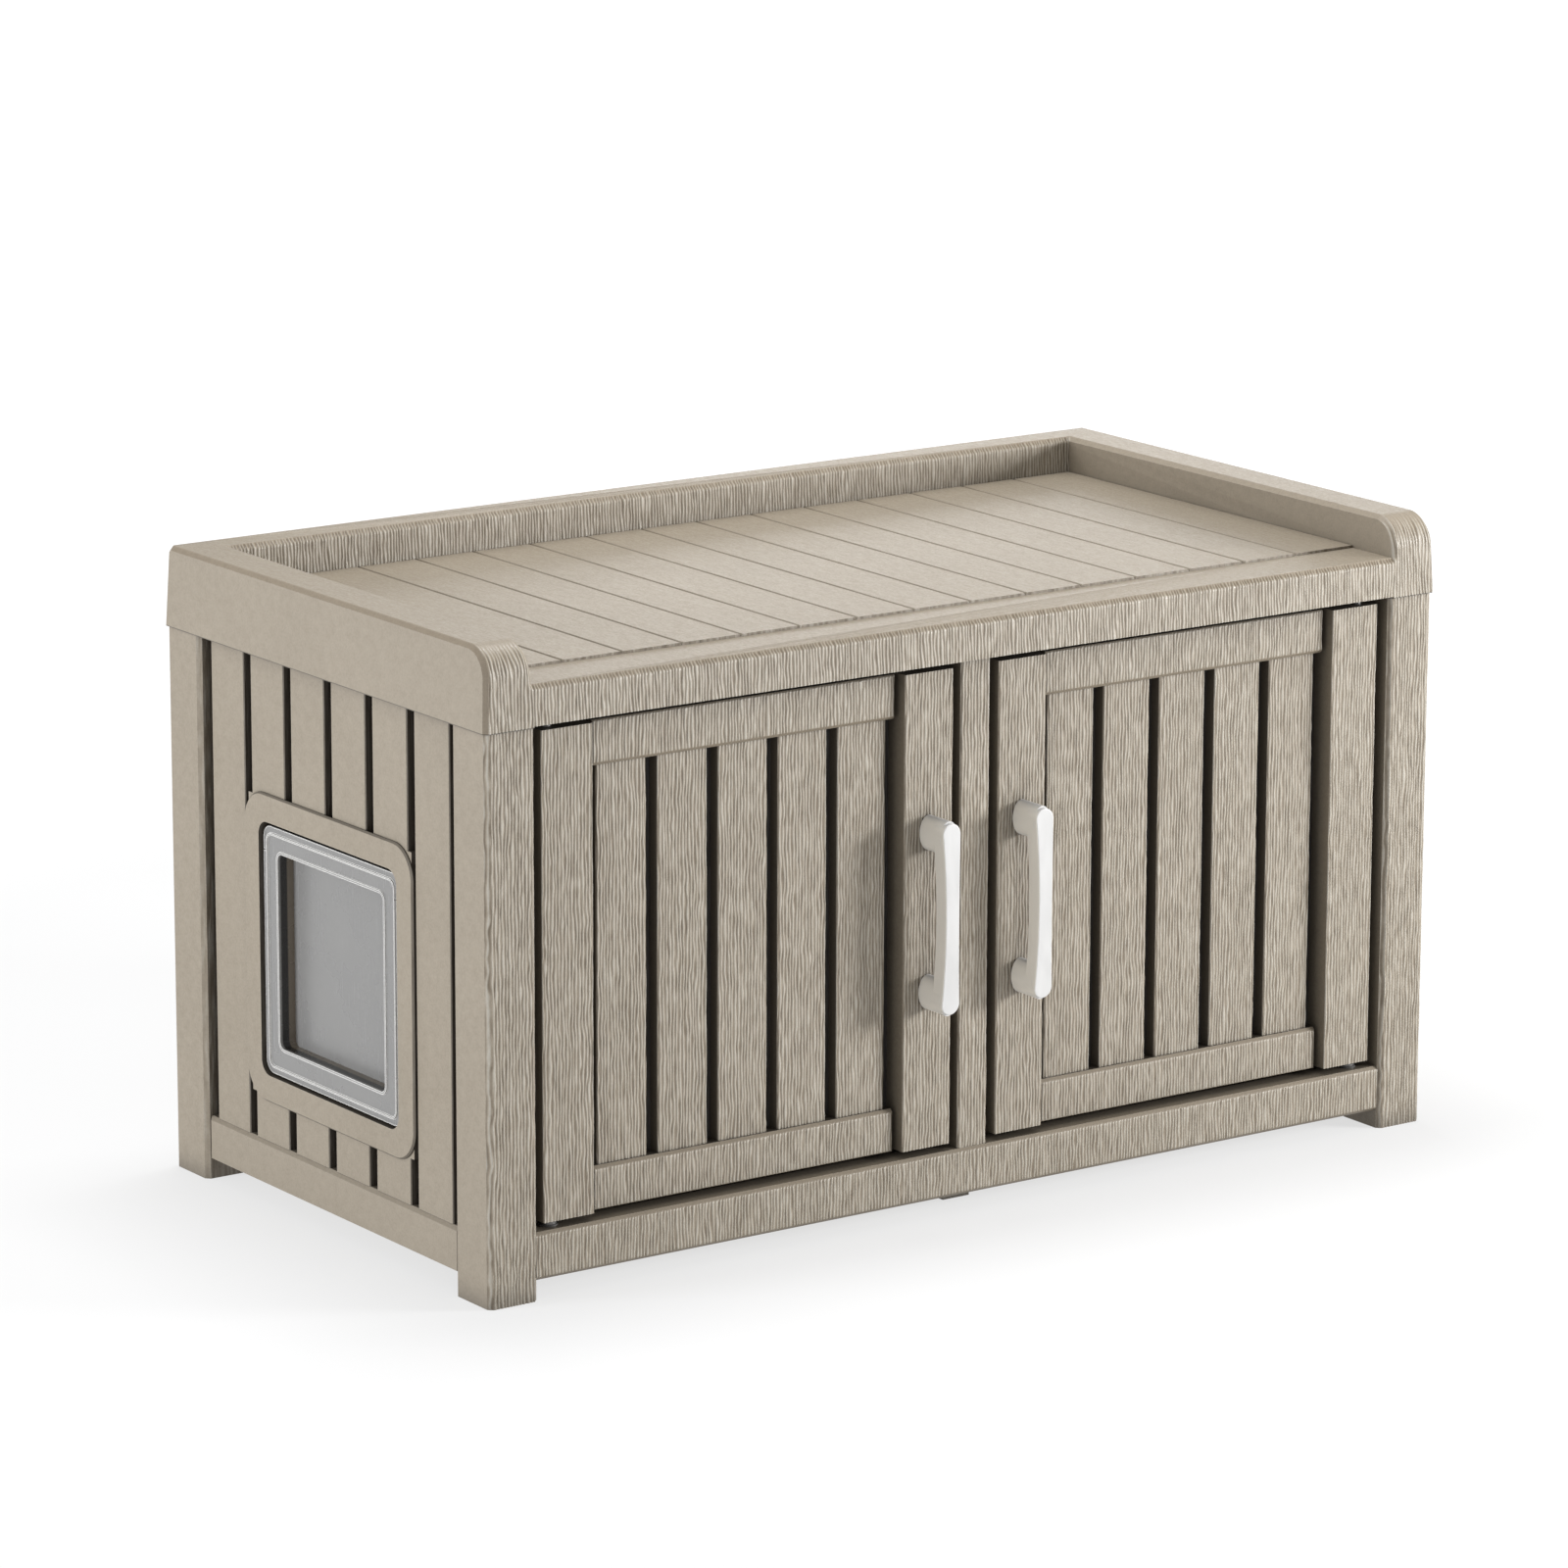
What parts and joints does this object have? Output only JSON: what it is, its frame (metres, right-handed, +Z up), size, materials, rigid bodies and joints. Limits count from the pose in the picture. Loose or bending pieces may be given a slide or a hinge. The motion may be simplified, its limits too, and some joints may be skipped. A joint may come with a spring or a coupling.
{
  "type": "pet house cabinet",
  "caption": "Bench-height slatted pet-house cabinet with a railed tray top, two inset plank doors on pivots with bow handles, and a clear top-hung flap in the left wall.",
  "frame": {"origin": "on the floor, at the middle of the overall footprint, handles included", "axes": "+Z up; the doors face -Y; the flap is in the -X side; +X along the length"},
  "size_m": [0.9136, 0.497, 0.51],
  "materials": {
    "composite": "matte taupe wood-plastic composite; fronts combed with wavy upright wood grain, sides finely mottled",
    "tray_composite": "matte taupe wood-plastic composite; combed skirt front, smooth rail and deck tops with faint lengthwise streaks",
    "surround_composite": "matte taupe, finely mottled",
    "handle_white": "satin white",
    "flap_clear": "clear, slightly grey and smeared",
    "bush_plastic": "dark brown moulded plastic",
    "catch_plastic": "dark brown moulded plastic",
    "pin_steel": "plain zinc-plated steel",
    "strike_steel": "plain steel sheet",
    "magnet_steel": "nickel-plated magnet face",
    "peg_wood": "plain beech peg"
  },
  "bodies": {
    "cabinet": {"back_wall": "composite", "base_rail_back": "composite", "base_rail_front": "composite", "base_rail_left": "composite", "base_rail_right": "composite", "catch_body": "catch_plastic", "catch_magnets": "magnet_steel", "centre_post": "composite", "corner_pegs": "peg_wood", "deck_board": "tray_composite", "flap_bushes": "bush_plastic", "flap_inner_frame": "surround_composite", "flap_surround": "surround_composite", "floor_board": "composite", "leg_back_left": "composite", "leg_back_right": "composite", "leg_front_left": "composite", "leg_front_right": "composite", "pivot_bushes_lower": "bush_plastic", "pivot_bushes_upper": "bush_plastic", "side_wall_left": "composite", "side_wall_right": "composite", "tray_frame": "tray_composite"},
    "left_door": {"door_bottom_rail_left": "composite", "door_hinge_stile_left": "composite", "door_meeting_stile_left": "composite", "door_panel_left": "composite", "door_pivot_pins_left": "pin_steel", "door_planks_left": "composite", "door_top_rail_left": "composite", "handle_left": "handle_white", "handle_screws_left": "pin_steel", "strike_plate_left": "strike_steel"},
    "right_door": {"door_bottom_rail_right": "composite", "door_hinge_stile_right": "composite", "door_meeting_stile_right": "composite", "door_panel_right": "composite", "door_pivot_pins_right": "pin_steel", "door_planks_right": "composite", "door_top_rail_right": "composite", "handle_right": "handle_white", "handle_screws_right": "pin_steel", "strike_plate_right": "strike_steel"},
    "flap": {"flap_border": "flap_clear", "flap_window": "flap_clear", "flap_pins": "pin_steel"}
  },
  "joints": [
    {"name": "left_door_hinge", "type": "hinge", "parent": "cabinet", "child": "left_door", "pos_m": [-0.3905, -0.20255, 0.25], "axis": [0, 0, -1], "range_deg": [0, 105]},
    {"name": "right_door_hinge", "type": "hinge", "parent": "cabinet", "child": "right_door", "pos_m": [0.3905, -0.20255, 0.25], "axis": [0, 0, 1], "range_deg": [0, 105]},
    {"name": "flap_swing", "type": "hinge", "parent": "cabinet", "child": "flap", "pos_m": [-0.4405, 0.01275, 0.2943], "axis": [0, 1, 0], "range_deg": [-80, 80]}
  ]
}
